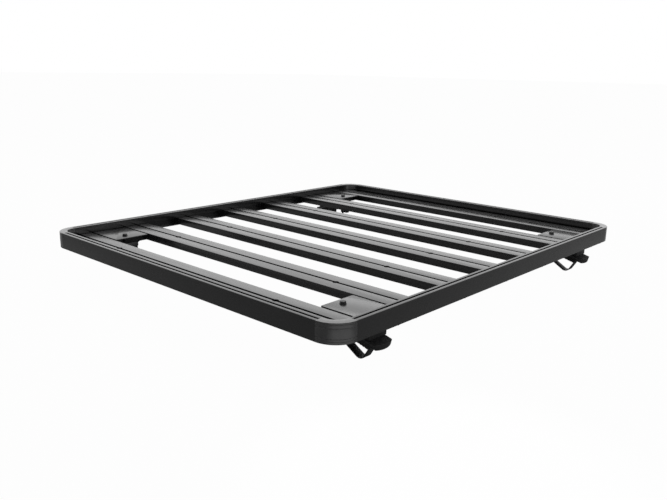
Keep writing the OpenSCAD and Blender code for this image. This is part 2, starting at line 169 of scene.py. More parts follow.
class StageSettings(PropertyGroup):
    """The photograph's viewpoint and a plain white stage."""

    camera_at: FloatVectorProperty(name="Camera place", description="Where the camera stands", size=3,
                                   default=(1.44959, -1.64425, 0.62399), subtype="TRANSLATION", unit="LENGTH")
    yaw: FloatProperty(name="Yaw", description="Heading of the camera from +X towards +Y",
                       default=math.radians(132.379), subtype="ANGLE")
    pitch: FloatProperty(name="Pitch", description="How far the camera looks down",
                         default=math.radians(14.504), subtype="ANGLE")
    roll: FloatProperty(name="Roll", description="Turn of the camera about its own line of sight",
                        default=math.radians(1.044), subtype="ANGLE")
    lens: FloatProperty(name="Lens", description="Focal length on a 36 mm wide sensor",
                        default=38.247, min=10.0, subtype="DISTANCE_CAMERA")
    floor_r: FloatProperty(name="Floor", description="Half width of the floor",
                           default=40.0, min=5.0, unit="LENGTH")
    ambient: FloatProperty(name="Ambient", description="Strength of the surrounding light",
                           default=0.55, min=0.0)
    # The pale zone is a painted pool of light on the floor, which the near corner reflects as a highlight.
    painted_pool_at: FloatVectorProperty(name="Pale zone", description="Middle of the paler floor by the near corner",
                                 size=3, default=(0.92, -0.79, 0.0), subtype="TRANSLATION", unit="LENGTH")
    painted_pool_r: FloatProperty(name="Pale zone radius", description="Radius where the paler zone ends",
                          default=0.37, min=0.05, unit="LENGTH")


# Outlines and solids

def outline(corners, steps=4):
    """Closed 2D outline through (x, y, radius) corners, each rounded by an arc of its radius."""
    points = []
    for i, (x, y, r) in enumerate(corners):
        at = Vector((x, y))
        if r <= 0:
            points.append(at)
            continue
        back = (Vector(corners[i - 1][:2]) - at).normalized()
        ahead = (Vector(corners[(i + 1) % len(corners)][:2]) - at).normalized()
        half = back.angle(ahead) / 2
        centre = at + (back + ahead).normalized() * (r / math.sin(half))
        start = at + back * (r / math.tan(half)) - centre
        way = -1 if back.cross(ahead) > 0 else 1
        sweep = way * (math.pi - 2 * half)
        for k in range(steps + 1):
            points.append(centre + Matrix.Rotation(sweep * k / steps, 2) @ start)
    return points


def section(bm, outer, place, holes=()):
    """Flat faces that fill a 2D outline, less its holes, laid in space by the matrix place."""
    edges = []
    for loop in (outer, *holes):
        verts = [bm.verts.new(place @ Vector((p[0], p[1], 0.0))) for p in loop]
        edges += [bm.edges.new((verts[i - 1], verts[i])) for i in range(len(verts))]
    if not holes:
        return bmesh.ops.edgenet_fill(bm, edges=edges)["faces"]
    filled = bmesh.ops.triangle_fill(bm, use_beauty=True, use_dissolve=False, edges=edges)
    return [g for g in filled["geom"] if isinstance(g, bmesh.types.BMFace)]


def once(items):
    """List of the items without repeats, in the order in which they come."""
    return list(dict.fromkeys(items))


def region(faces):
    """Faces with their edges and vertices, so that an extrusion leaves none of them inside."""
    return list(faces) + once(e for f in faces for e in f.edges) + once(v for f in faces for v in f.verts)


def push(bm, faces, shift):
    """Extrudes faces by a vector and returns the faces at the new end."""
    grown = bmesh.ops.extrude_face_region(bm, geom=region(faces))["geom"]
    moved = [g for g in grown if isinstance(g, bmesh.types.BMVert)]
    bmesh.ops.translate(bm, verts=moved, vec=shift)
    return [g for g in grown if isinstance(g, bmesh.types.BMFace)]


def swing(bm, faces, centre, axis, angle, steps):
    """Spins faces round an axis and returns the faces at the new end."""
    spun = bmesh.ops.spin(bm, geom=region(faces), cent=centre, axis=axis, angle=angle, steps=steps)
    return [g for g in spun["geom_last"] if isinstance(g, bmesh.types.BMFace)]


def sharp_edges(bm, angle=40.0):
    """Edges whose two faces meet at more than an angle, in degrees."""
    return [e for e in bm.edges if len(e.link_faces) == 2 and e.calc_face_angle(0.0) > math.radians(angle)]


def soften(bm, width, segments=2, edges=None):
    """Rounds the given edges, or all sharp ones."""
    if edges is None:
        edges = sharp_edges(bm)
    bmesh.ops.bevel(bm, geom=edges, offset=width, offset_type="OFFSET", segments=segments, profile=0.5,
                    affect="EDGES", clamp_overlap=True, material=-1)


def lathe(bm, profile, place, steps=48):
    """Closed solid of revolution from (radius, height) points, about the place's own Z."""
    verts = [bm.verts.new(place @ Vector((r, 0.0, z))) for r, z in profile]
    edges = [bm.edges.new((verts[i], verts[i + 1])) for i in range(len(verts) - 1)]
    axis = place.to_3x3() @ Vector((0.0, 0.0, 1.0))
    bmesh.ops.spin(bm, geom=verts + edges, cent=place.translation, axis=axis,
                   angle=2 * math.pi, steps=steps, use_merge=True)
    bmesh.ops.remove_doubles(bm, verts=bm.verts[:], dist=0.0001 * MM)


def hexagon(bm, across_flats, low, high, place, chamfer, top=True, bottom=False):
    """Hexagon head or nut with its corners turned down at the free faces."""
    radius = across_flats / 2 / math.cos(math.radians(30))
    middle = place @ Matrix.Translation((0, 0, (low + high) / 2))
    made = bmesh.ops.create_cone(bm, cap_ends=True, segments=6, radius1=radius, radius2=radius,
                                 depth=high - low, matrix=middle)
    up = place.to_3x3() @ Vector((0.0, 0.0, 1.0))
    caps = once(f for v in made["verts"] for f in v.link_faces if abs(f.normal.dot(up)) > 0.9)
    picked = [f for f in caps if (top and f.normal.dot(up) > 0) or (bottom and f.normal.dot(up) < 0)]
    edges = once(e for f in picked for e in f.edges)
    if edges:
        soften(bm, chamfer, edges=edges)


def shade(mesh, angle=35.0):
    """Smooth shading that breaks at edges sharper than an angle, in degrees, once slivers are gone."""
    bm = bmesh.new()
    bm.from_mesh(mesh)
    sliver = 0.002 * MM
    bmesh.ops.remove_doubles(bm, verts=bm.verts[:], dist=sliver)
    bmesh.ops.dissolve_degenerate(bm, dist=sliver, edges=bm.edges[:])
    for f in bm.faces:
        f.smooth = True
    for e in bm.edges:
        e.smooth = len(e.link_faces) == 2 and e.calc_face_angle(0.0) < math.radians(angle)
    bm.to_mesh(mesh)
    bm.free()


def new_object(bm, name):
    """Turns a bmesh into an object at the origin, with its faces pointing outwards."""
    bmesh.ops.recalc_face_normals(bm, faces=bm.faces[:])
    mesh = bpy.data.meshes.new(name)
    bm.to_mesh(mesh)
    bm.free()
    made = bpy.data.objects.new(name, mesh)
    bpy.context.scene.collection.objects.link(made)
    return made


def carve(target, cutters, operation="DIFFERENCE"):
    """Cuts the target with the cutters' shapes, or keeps what lies inside them, and deletes the cutters."""
    for cutter in cutters:
        mod = target.modifiers.new("carve", "BOOLEAN")
        mod.operation = operation
        mod.solver = "EXACT"
        mod.object = cutter
    done = bpy.data.meshes.new_from_object(target.evaluated_get(bpy.context.evaluated_depsgraph_get()))
    target.modifiers.clear()
    old = target.data
    target.data = done
    done.name = old.name
    bpy.data.meshes.remove(old)
    for cutter in cutters:
        bpy.data.objects.remove(cutter)


def carved(bm, cutters, operation="DIFFERENCE"):
    """Cuts a bmesh as carve does, and returns what is left as a new one."""
    whole = new_object(bm, "whole")
    carve(whole, cutters, operation)
    bm, mesh = bmesh.new(), whole.data
    bm.from_mesh(mesh)
    bpy.data.objects.remove(whole)
    bpy.data.meshes.remove(mesh)
    return bm


def round_cutter(x, y, radius, low, high, flare):
    """Cylinder that cuts a hole down to low, with a small flare at its top."""
    bm = bmesh.new()
    top = high + flare
    profile = [(0, low), (radius, low), (radius, high - flare), (radius + 2 * flare, top), (0, top)]
    lathe(bm, profile, Matrix.Translation((x, y, 0)), 32)
    return new_object(bm, "cutter")


def dress(piece, material, slot, *nodes):
    """Shades a finished piece, gives it its material, and puts it in the place of its CAD nodes."""
    shade(piece.data)
    piece.data.materials.clear()
    piece.data.materials.append(material)
    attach(piece, "root")
    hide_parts(*nodes)


# Finishes

def new_material(name):
    """Empty node material with its nodes and output, or the one that has the name already."""
    made = bpy.data.materials.get(name)
    if made:
        return made, None, None
    made = bpy.data.materials.new(name)
    made.use_nodes = True
    nodes = made.node_tree.nodes
    nodes.clear()
    out = nodes.new("ShaderNodeOutputMaterial")
    return made, nodes, out


def coated(name, colour, rough, grain, bump, level=0.5, gloss=0.0, haze=0.3, spread=0.25):
    """Black coat with a fine grain and a clear film: its tone and roughness drift over the surface.

    Level is the coat's specular level, gloss and haze are the film's weight and roughness, and
    spread is how far the tone drifts.
    """
    made, nodes, out = new_material(name)
    if nodes is None:
        return made
    links = made.node_tree.links
    shader = nodes.new("ShaderNodeBsdfPrincipled")
    shader.inputs["Specular IOR Level"].default_value = level
    shader.inputs["Coat Weight"].default_value = gloss
    shader.inputs["Coat Roughness"].default_value = haze
    links.new(shader.outputs["BSDF"], out.inputs["Surface"])
    where = nodes.new("ShaderNodeTexCoord")
    cloud = nodes.new("ShaderNodeTexNoise")
    cloud.inputs["Scale"].default_value = 9.0
    cloud.inputs["Detail"].default_value = 4.0
    cloud_low, cloud_high = 0.3, 0.7
    links.new(where.outputs["Object"], cloud.inputs["Vector"])
    tone = nodes.new("ShaderNodeValToRGB")
    tone.color_ramp.elements[0].position = cloud_low
    tone.color_ramp.elements[1].position = cloud_high
    tone.color_ramp.elements[0].color = (*[c * (1 - spread) for c in colour], 1)
    tone.color_ramp.elements[1].color = (*[c * (1 + spread) for c in colour], 1)
    links.new(cloud.outputs["Fac"], tone.inputs["Fac"])
    links.new(tone.outputs["Color"], shader.inputs["Base Color"])
    drift = nodes.new("ShaderNodeMapRange")
    drift.inputs["From Min"].default_value = cloud_low
    drift.inputs["From Max"].default_value = cloud_high
    drift.inputs["To Min"].default_value = rough - 0.03
    drift.inputs["To Max"].default_value = rough + 0.04
    links.new(cloud.outputs["Fac"], drift.inputs["Value"])
    links.new(drift.outputs["Result"], shader.inputs["Roughness"])
    fine = nodes.new("ShaderNodeTexNoise")
    fine.inputs["Scale"].default_value = grain
    fine.inputs["Detail"].default_value = 3.0
    links.new(where.outputs["Object"], fine.inputs["Vector"])
    relief = nodes.new("ShaderNodeBump")
    relief.inputs["Strength"].default_value = bump
    relief.inputs["Distance"].default_value = 0.2 * MM
    links.new(fine.outputs["Fac"], relief.inputs["Height"])
    links.new(relief.outputs["Normal"], shader.inputs["Normal"])
    return made


def deck_coat():
    finish = bpy.context.scene.rack_finish
    return coated("deck_coat", finish.coat, rough=finish.coat_rough, grain=700.0, bump=0.12,
                  level=0.45, gloss=0.72, haze=0.20)


def rim_coat():
    finish = bpy.context.scene.rack_finish
    return coated("rim_coat", finish.coat, rough=finish.coat_rough, grain=700.0, bump=0.12,
                  level=0.15, gloss=0.8, haze=0.20)


def cast_coat():
    finish = bpy.context.scene.rack_finish
    return coated("cast_coat", finish.cast, rough=0.34, grain=450.0, bump=0.2,
                  level=0.5, gloss=1.0, haze=0.22)


def foot_coat():
    finish = bpy.context.scene.rack_finish
    return coated("foot_coat", finish.foot, rough=0.5, grain=450.0, bump=0.3, level=0.4)


def strap_coat():
    finish = bpy.context.scene.rack_finish
    return coated("strap_coat", finish.steel, rough=0.38, grain=600.0, bump=0.15)


def bolt_black():
    finish = bpy.context.scene.rack_finish
    return coated("bolt_black", finish.steel, rough=0.35, grain=900.0, bump=0.1)


def pad_rubber():
    finish = bpy.context.scene.rack_finish
    return coated("pad_rubber", finish.rubber, rough=0.75, grain=350.0, bump=0.4, level=0.4)


# Rim

def rail_outline(sizes):
    """Section of a rail: x from its outer face inwards, y up from its underside."""
    wall, box, lip = sizes.rim_wall, sizes.box_wall, sizes.lip_t
    top, floor = RIM_H, RIM_H - sizes.box_h
    mid = (wall + RIM_W - box) / 2
    left, right = mid - sizes.rim_slot / 2, mid + sizes.rim_slot / 2
    edge, small = sizes.edge_r, sizes.lip_r
    return outline([
        (0, 0, edge), (RIM_W, 0, edge), (RIM_W, lip, edge), (wall, lip, edge), (wall, floor, edge),
        (RIM_W, floor, edge), (RIM_W, top, edge), (right, top, small), (right, top - box, small),
        (RIM_W - box, top - box, small), (RIM_W - box, floor + box, edge), (wall, floor + box, edge),
        (wall, top - box, small), (left, top - box, small), (left, top, small), (0, top, edge)])


def rim_side(turn, depth):
    """Matrix that lays a section on a side: x inwards, y up, extruded along the side, from its middle."""
    laid = Matrix(((0, 0, 1, 0), (1, 0, 0, -depth), (0, 1, 0, RAIL_Z), (0, 0, 0, 1)))
    return Matrix.Rotation(turn, 4, "Z") @ laid


def add_rail(name, turn, depth, half, holes=()):
    """One rail of the rim, with holes in its lip for the rim bolts."""
    sizes = bpy.context.scene.rack_sizes
    place = rim_side(turn, depth) @ Matrix.Translation((0, 0, -half + sizes.joint_gap))
    bm = bmesh.new()
    faces = section(bm, rail_outline(sizes), place)
    push(bm, faces, (place.to_3x3() @ Vector((0, 0, 1))) * 2 * (half - sizes.joint_gap))
    rail = new_object(bm, "rail_" + name)
    if holes:
        hole_r = BOLT_R + 0.2 * MM
        carve(rail, [round_cutter(x, y, hole_r, RAIL_Z - MM, RAIL_Z + sizes.lip_t + MM, 0.1 * MM)
                     for x, y in holes])
    dress(rail, rim_coat(), "satin_black_rim", name + "_rail")


def slat_places():
    """Middle of each slat along Y."""
    return [(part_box(name)[0][1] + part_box(name)[1][1]) / 2 for name in SLATS]


def rim_bolt_places():
    """(y, whether it holds a plate) of every rim bolt on one side."""
    pitch = 70 * MM
    plates = [way * GAP_Y + s * pitch / 2 for way in (-1, 1) for s in (-1, 1)]
    return [(y, False) for y in slat_places()] + [(y, True) for y in plates]


def rim_bolt_x():
    """Distance from the middle to the rim bolts of either side."""
    return (RIM_BOLT_LOW[0] + RIM_BOLT_HIGH[0]) / 2


class RACK_OT_rails(Operator):
    """Build the four slotted rails of the rim"""

    bl_idname = "rack.rails"
    bl_label = "Rails"

    def execute(self, context):
        half_x = RIM_HIGH[0]
        half_y = SIDE_HIGH[1]
        add_rail("front", 0.0, HALF_L, half_x)
        add_rail("rear", math.pi, HALF_L, half_x)
        for name, side in SIDES:
            holes = [(side * rim_bolt_x(), y) for y, _ in rim_bolt_places()]
            add_rail(name, side * math.pi / 2, HALF_W, half_y, holes)
        return {"FINISHED"}


def corner_outline(sizes):
    """Section of a corner casting: a solid top, a wall with grooves, and a lip."""
    wall, lip = sizes.rim_wall, sizes.lip_t
    top, floor, edge = RIM_H, RIM_H - sizes.box_h, sizes.edge_r
    deep, half, soft = sizes.groove_d, sizes.groove_h / 2, 0.2 * MM
    grooves = (4 * MM, 12 * MM, 35 * MM, 41 * MM)
    face = []
    for below_top in grooves:
        for x, y in ((0, -half), (deep, -half * 0.6), (deep, half * 0.6), (0, half)):
            face.append((x, top - below_top - y, soft))
    return outline([(RIM_W, top, edge), (0, top, edge), *face, (0, 0, edge), (RIM_W, 0, edge),
                    (RIM_W, lip, edge), (wall, lip, edge), (wall, floor, edge), (RIM_W, floor, edge)])


def corner_mesh(sizes):
    """Front left corner: its section swept round, with a short straight stretch at each end."""
    reach = sizes.corner_r + sizes.corner_end
    start = Matrix(((0, 0, 1, reach - HALF_W), (1, 0, 0, -HALF_L), (0, 1, 0, RAIL_Z), (0, 0, 0, 1)))
    centre = Vector((sizes.corner_r - HALF_W, sizes.corner_r - HALF_L, 0))
    bm = bmesh.new()
    faces = section(bm, corner_outline(sizes), start)
    faces = push(bm, faces, Vector((-sizes.corner_end, 0, 0)))
    faces = swing(bm, faces, centre, Vector((0, 0, -1)), math.pi / 2, 2 * sizes.bend_steps)
    push(bm, faces, Vector((0, sizes.corner_end, 0)))
    return bm


def spigot_mesh(sizes, along_y):
    """Block that reaches from the front left corner into the box of one of its rails."""
    clear, overlap = 0.3 * MM, 2 * MM
    reach = sizes.corner_r + sizes.corner_end
    long = CORNER_HIGH[0] - CORNER_LOW[0] - reach + overlap
    room = RIM_W - sizes.rim_wall - sizes.box_wall
    wide, tall = room - 2 * clear, sizes.box_h - 2 * sizes.box_wall - 2 * clear
    ahead, middle = reach + long / 2 - overlap, sizes.rim_wall + room / 2
    size, x, y = ((wide, long, tall), middle, ahead) if along_y else ((long, wide, tall), ahead, middle)
    place = Matrix.Translation((x - HALF_W, y - HALF_L, RAIL_Z + RIM_H - sizes.box_h / 2))
    bm = bmesh.new()
    bmesh.ops.create_cube(bm, size=1.0, matrix=place @ Matrix.Diagonal((*size, 1)))
    soften(bm, 0.8 * MM)
    return bm


class RACK_OT_corners(Operator):
    """Build the four grooved corner castings with their spigots"""

    bl_idname = "rack.corners"
    bl_label = "Corners"

    def execute(self, context):
        sizes = context.scene.rack_sizes
        for name, side, way in FEET:
            mirror = Matrix.Diagonal((-side, -way, 1, 1))
            casting = self.piece(corner_mesh(sizes), "corner_casting_" + name, mirror)
            spigots = [self.piece(spigot_mesh(sizes, along_y), "spigot", mirror) for along_y in (False, True)]
            carve(casting, spigots, "UNION")
            dress(casting, cast_coat(), "cast_black_corner", "corner_" + name)
        return {"FINISHED"}

    def piece(self, bm, name, mirror):
        """Object of a mesh that is drawn for the front left corner, mirrored to another one."""
        bmesh.ops.transform(bm, matrix=mirror, verts=bm.verts[:])
        return new_object(bm, name)


# Slats

def slat_outlines(sizes):
    """Section of a slat with a slot in each face, and its two closed cells: x across it, y up."""
    high, half = DECK_Z - SLAT_Z, SLAT_W / 2
    wall, mouth, chamber = sizes.slat_wall, sizes.slot_mouth / 2, sizes.chamber_w / 2
    deep = (high - sizes.web_t) / 2
    edge, small = sizes.edge_r, sizes.lip_r
    slot = [(mouth, 0, small), (mouth, wall, small), (chamber, wall, small), (chamber, deep, small)]
    below = [(-x, y, r) for x, y, r in slot] + slot[::-1]
    above = [(-x, high - y, r) for x, y, r in below]
    body = [(-half, 0, edge), *below, (half, 0, edge), (half, high, edge), *above, (-half, high, edge)]
    cells = []
    for near, far in ((chamber + wall, half - wall), (wall - half, -chamber - wall)):
        cells.append(outline([(near, wall, edge), (far, wall, edge), (far, high - wall, edge),
                              (near, high - wall, edge)]))
    return outline(body), cells


def rim_room(sizes):
    """Solid that fills the inside of the rim's outer wall, to trim the end slats."""
    inset = sizes.rim_wall + 0.3 * MM
    x, y, r = HALF_W - inset, HALF_L - inset, sizes.corner_r - inset
    bm = bmesh.new()
    faces = section(bm, outline([(-x, -y, r), (x, -y, r), (x, y, r), (-x, y, r)], 16),
                    Matrix.Translation((0, 0, RAIL_Z)))
    push(bm, faces, Vector((0, 0, RIM_H)))
    return new_object(bm, "room")


class RACK_OT_slats(Operator):
    """Build the flat slats with their slots and entry holes"""

    bl_idname = "rack.slats"
    bl_label = "Slats"

    def execute(self, context):
        sizes = context.scene.rack_sizes
        outer, cells = slat_outlines(sizes)
        for name, y in zip(SLATS, slat_places()):
            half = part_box(name)[1][0]
            bm = bmesh.new()
            lay = Matrix(((0, 0, 1, -half), (1, 0, 0, y), (0, 1, 0, SLAT_Z), (0, 0, 0, 1)))
            faces = section(bm, outer, lay, cells)
            push(bm, faces, Vector((2 * half, 0, 0)))
            slat = new_object(bm, "deck_" + name)
            carve(slat, [round_cutter(side * (HALF_W - sizes.entry_from_side), y, sizes.entry_d / 2,
                                      DECK_Z - sizes.slat_wall - MM, DECK_Z, sizes.lip_r)
                         for _, side in SIDES])
            if name in (SLATS[0], SLATS[-1]):
                carve(slat, [rim_room(sizes)], "INTERSECT")
            dress(slat, deck_coat(), "satin_black_deck", name)
        return {"FINISHED"}


# Feet: each piece is drawn for the front right foot and moved or mirrored to its own place

def foot_place(name, side):
    """Matrix from the front right foot to another one."""
    low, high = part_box("foot_bolt_" + name)
    x, y = side * (low[0] + high[0]) / 2, (low[1] + high[1]) / 2
    return Matrix.Diagonal((side, 1, 1, 1)) @ Matrix.Translation((x - BOLT_X, y - BOLT_Y, 0))


def upright(y):
    """Matrix that lays a profile drawn as (x, z) upright at y, to be extruded along Y."""
    return Matrix(((1, 0, 0, 0), (0, 0, 1, y), (0, 1, 0, 0), (0, 0, 0, 1)))


def bar_size(sizes):
    """Length and thickness of a saddle bar, which its box and its slope give."""
    wide, tall = SADDLE_HIGH[0] - SADDLE_LOW[0], SADDLE_HIGH[2] - SADDLE_LOW[2]
    c, s = math.cos(sizes.clamp_tilt), math.sin(sizes.clamp_tilt)
    return (wide * c - tall * s) / (c * c - s * s), (tall * c - wide * s) / (c * c - s * s)


def on_bar(sizes, along, above):
    """(x, z) of a point at a distance along the bar from its outer end, and above its middle."""
    c, s = math.cos(sizes.clamp_tilt), math.sin(sizes.clamp_tilt)
    middle = Vector((SADDLE_LOW[0] + SADDLE_HIGH[0], SADDLE_LOW[2] + SADDLE_HIGH[2])) / 2
    out = bar_size(sizes)[0] / 2 - along
    return middle + Vector((c, -s)) * out + Vector((s, c)) * above


def plate_mesh(sizes, node):
    """Plate level with the slats: its outer end is a channel that sits in the rim."""
    thick, bend, tiny = sizes.plate_t, 2.5 * MM, 0.001 * MM
    low, high = (Vector(corner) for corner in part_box(node))
    if high.x < 0:
        low.x, high.x = -high.x, -low.x
    flange = HALF_W - RIM_W + 0.3 * MM
    bm = bmesh.new()
    faces = section(bm, outline([
        (low.x, high.z, 0), (low.x, high.z - thick, 0), (high.x - thick, high.z - thick, bend - MM),
        (high.x - thick, low.z + thick, bend - MM), (flange, low.z + thick, 0), (flange, low.z, 0),
        (high.x, low.z, bend), (high.x, high.z, bend)]), upright(low.y))
    push(bm, faces, Vector((0, high.y - low.y, 0)))
    upright_edges = [e for e in bm.edges if all(abs(v.co.x - low.x) < tiny for v in e.verts)
                     and abs(e.verts[0].co.y - e.verts[1].co.y) < tiny]
    soften(bm, 2 * MM, 4, upright_edges)
    soften(bm, 0.5 * MM)
    return bm


def riser_mesh(sizes):
    """Cast block between the plate and the sloping bar."""
    low, high = Vector(RISER_LOW), Vector(RISER_HIGH)
    rise = (high.x - low.x) * math.tan(sizes.clamp_tilt)
    bm = bmesh.new()
    faces = section(bm, outline([(low.x, high.z, 0), (high.x, high.z, 0), (high.x, low.z, 0),
                                 (low.x, low.z + rise, 0)]), upright(low.y))
    push(bm, faces, Vector((0, high.y - low.y, 0)))
    soften(bm, sizes.cast_edge, 3)
    return carved(bm, [new_object(head_mesh(sizes, low.x), "head")], "UNION")


def head_mesh(sizes, end):
    """Head of the casting: fills the gap between two slats, straddles the bar, spreads under the slats."""
    clear, corner, toe, overlap = 0.3 * MM, 2 * MM, 3 * MM, 3 * MM
    front, back = SLAT_LOW[1] - SLAT_PITCH + SLAT_W, SLAT_LOW[1]
    left, right = BOLT_Y - sizes.head_w / 2, BOLT_Y + sizes.head_w / 2
    under, top = SLAT_Z - clear, DECK_Z - sizes.plate_t - clear
    flange, foot, over = under - sizes.flange_t, SLAT_Z - sizes.head_foot, sizes.flange_over
    bm = bmesh.new()
    lay = Matrix(((0, 0, 1, end - sizes.head_l), (1, 0, 0, 0), (0, 1, 0, 0), (0, 0, 0, 1)))
    faces = section(bm, outline([
        (front + clear, top, MM), (front + clear, under, 0), (front - over, under, 0),
        (front - over, flange, 0), (left, flange, corner), (left, foot, toe), (right, foot, toe),
        (right, flange, sizes.flange_r), (back + over, flange, 0), (back + over, under, 0),
        (back - clear, under, 0), (back - clear, top, MM)], 8), lay)
    push(bm, faces, Vector((sizes.head_l + overlap, 0, 0)))
    bm = carved(bm, [bar_room(sizes, clear)])
    soften(bm, 0.8 * MM)
    return bm


def bar_room(sizes, clear):
    """Solid that cuts the bar's way through the head: open below and past the bar's inner end."""
    length, thick = bar_size(sizes)
    half, past = (SADDLE_HIGH[1] - SADDLE_LOW[1]) / 2 + clear, 50 * MM
    corners = [(0, -past), (length + past, -past), (length + past, thick / 2), (0, thick / 2)]
    bm = bmesh.new()
    faces = section(bm, [on_bar(sizes, *corner) for corner in corners], upright(BOLT_Y - half))
    push(bm, faces, Vector((0, 2 * half, 0)))
    return new_object(bm, "room")


def saddle_mesh(sizes):
    """Sloping bar across the vehicle's rail, with full-round long edges and a bulging outer end."""
    length, thick = bar_size(sizes)
    half, r = (SADDLE_HIGH[1] - SADDLE_LOW[1]) / 2, thick / 2
    # Just under a half circle, so that no two arcs share a point
    full = r * 0.999
    c, s = math.cos(sizes.clamp_tilt), math.sin(sizes.clamp_tilt)
    inner = on_bar(sizes, length, 0)
    lay = Matrix(((0, s, c, inner.x), (1, 0, 0, BOLT_Y), (0, c, -s, inner.y), (0, 0, 0, 1)))
    ends = outline([(-half, -r, full), (half, -r, full), (half, r, full), (-half, r, full)], 12)
    bm = bmesh.new()
    push(bm, section(bm, ends, lay), Vector((c, 0, -s)) * length)
    low = on_bar(sizes, length, -thick)
    lay = Matrix(((c, 0, s, low.x), (0, 1, 0, BOLT_Y), (-s, 0, c, low.y), (0, 0, 0, 1)))
    room = bmesh.new()
    push(room, section(room, bulge_outline(sizes, half, r), lay), Vector((s, 0, c)) * 2 * thick)
    bm = carved(bm, [new_object(room, "room")], "INTERSECT")
    soften(bm, 1.2 * MM, 3)
    return bm


def bulge_outline(sizes, half, r):
    """Plan of a bar from its inner end, just wider than it, with the arc of its outer end."""
    length, past, steps = bar_size(sizes)[0], 5 * MM, 8
    bulge_r = (half ** 2 + sizes.bar_bulge ** 2) / (2 * sizes.bar_bulge)
    # The arc stops short of the sides, which leaves room for the rounded shoulders
    wide, swell = half + 0.2 * MM, math.asin(half / bulge_r) * 0.8
    shoulder = length - bulge_r + math.sqrt(bulge_r ** 2 - wide ** 2)
    plan = [(-past, -wide, 0), (-past, wide, 0), (shoulder, wide, r)]
    for i in range(steps, -steps - 1, -1):
        at = swell * i / steps
        plan.append((length - bulge_r * (1 - math.cos(at)), bulge_r * math.sin(at), 0))
    plan.append((shoulder, -wide, r))
    return outline(plan, 8)


def pad_mesh(sizes):
    """Rubber pad under the bar: grip ribs below, and a notch that the band's outer limb passes."""
    start, base = sizes.pad_from_end, -bar_size(sizes)[1] / 2
    seat, groove, soft, grooves = base - sizes.pad_t, 1.2 * MM, 0.3 * MM, 9
    pitch = sizes.pad_l / (grooves + 0.8)
    first = start + 1.25 * pitch
    line = [(start, base, 0), (start, seat, MM)]
    for i in range(grooves):
        at = first + i * pitch
        line += [(at - groove, seat, soft), (at - groove / 2, seat + groove, soft),
                 (at + groove / 2, seat + groove, soft), (at + groove, seat, soft)]
    line += [(start + sizes.pad_l, seat, MM), (start + sizes.pad_l, base, 0)]
    bm = bmesh.new()
    laid = [(*on_bar(sizes, along, above), r) for along, above, r in line]
    faces = section(bm, outline(laid, 3), upright(BOLT_Y - sizes.pad_w / 2))
    push(bm, faces, Vector((0, sizes.pad_w, 0)))
    end = sizes.tab_from_end + sizes.notch_l
    wide = STRAP_HIGH[1] - STRAP_LOW[1] + 2 * MM
    slot = bmesh.new()
    corners = [(start - MM, base + MM), (end, base + MM), (end, seat - MM), (start - MM, seat - MM)]
    faces = section(slot, [on_bar(sizes, *corner) for corner in corners], upright(BOLT_Y - wide / 2))
    push(slot, faces, Vector((0, wide, 0)))
    return carved(bm, [new_object(slot, "slot")])


def strap_run(sizes):
    """Start of the band's middle as (x, z), and the straight lengths and turns to its outer tab."""
    small, r = sizes.tab_r, sizes.loop_r + sizes.strap_t / 2
    level = sizes.tab_up + sizes.strap_t / 2
    below = -(bar_size(sizes)[1] + sizes.strap_t) / 2
    start, fold_in = Vector((STRAP_LOW[0], level)), Vector((BOLT_X + sizes.tab_hold + small, level))
    fold_out = on_bar(sizes, sizes.tab_from_end, below)
    centre = Vector((HALF_W - sizes.loop_from_side, sizes.strap_t / 2 + r))
    down, up = centre - fold_in, fold_out - centre
    dip = math.atan2(-down.y, down.x) + math.asin(r / down.length)
    climb = math.atan2(up.y, up.x) + math.asin(r / up.length)
    fall = climb + sizes.clamp_tilt
    cut_in, cut_out = small * math.tan(dip / 2), small * math.tan(fall / 2)
    return start, [
        ("straight", (fold_in - start).length - cut_in), ("turn", small, -dip),
        ("straight", math.sqrt(down.length ** 2 - r * r) - cut_in), ("turn", r, dip + climb),
        ("straight", math.sqrt(up.length ** 2 - r * r) - cut_out), ("turn", small, -fall),
        ("straight", sizes.tab_out - cut_out)]


def strap_mesh(sizes):
    """Flat steel band, swept along its run with rounded edges."""
    start, run = strap_run(sizes)
    at = Vector((start.x, BOLT_Y, start.y))
    ahead, side = Vector((1, 0, 0)), Vector((0, 1, 0))
    bm = bmesh.new()
    lay = Matrix(((0, 0, 1, at.x), (1, 0, 0, at.y), (0, 1, 0, at.z), (0, 0, 0, 1)))
    w, t, r = (STRAP_HIGH[1] - STRAP_LOW[1]) / 2, sizes.strap_t / 2, 0.8 * MM
    faces = section(bm, outline([(-w, -t, r), (w, -t, r), (w, t, r), (-w, t, r)], 3), lay)
    for step in run:
        if step[0] == "straight":
            faces = push(bm, faces, ahead * step[1])
            at = at + ahead * step[1]
            continue
        radius, angle = step[1], step[2]
        centre = at + Vector((-ahead.z, 0, ahead.x)) * math.copysign(radius, angle)
        turn = Matrix.Rotation(-angle, 3, side)
        steps = max(4, round(abs(angle) / (math.pi / 2) * sizes.bend_steps))
        faces = swing(bm, faces, centre, side, -angle, steps)
        at = centre + turn @ (at - centre)
        ahead = turn @ ahead
    return bm


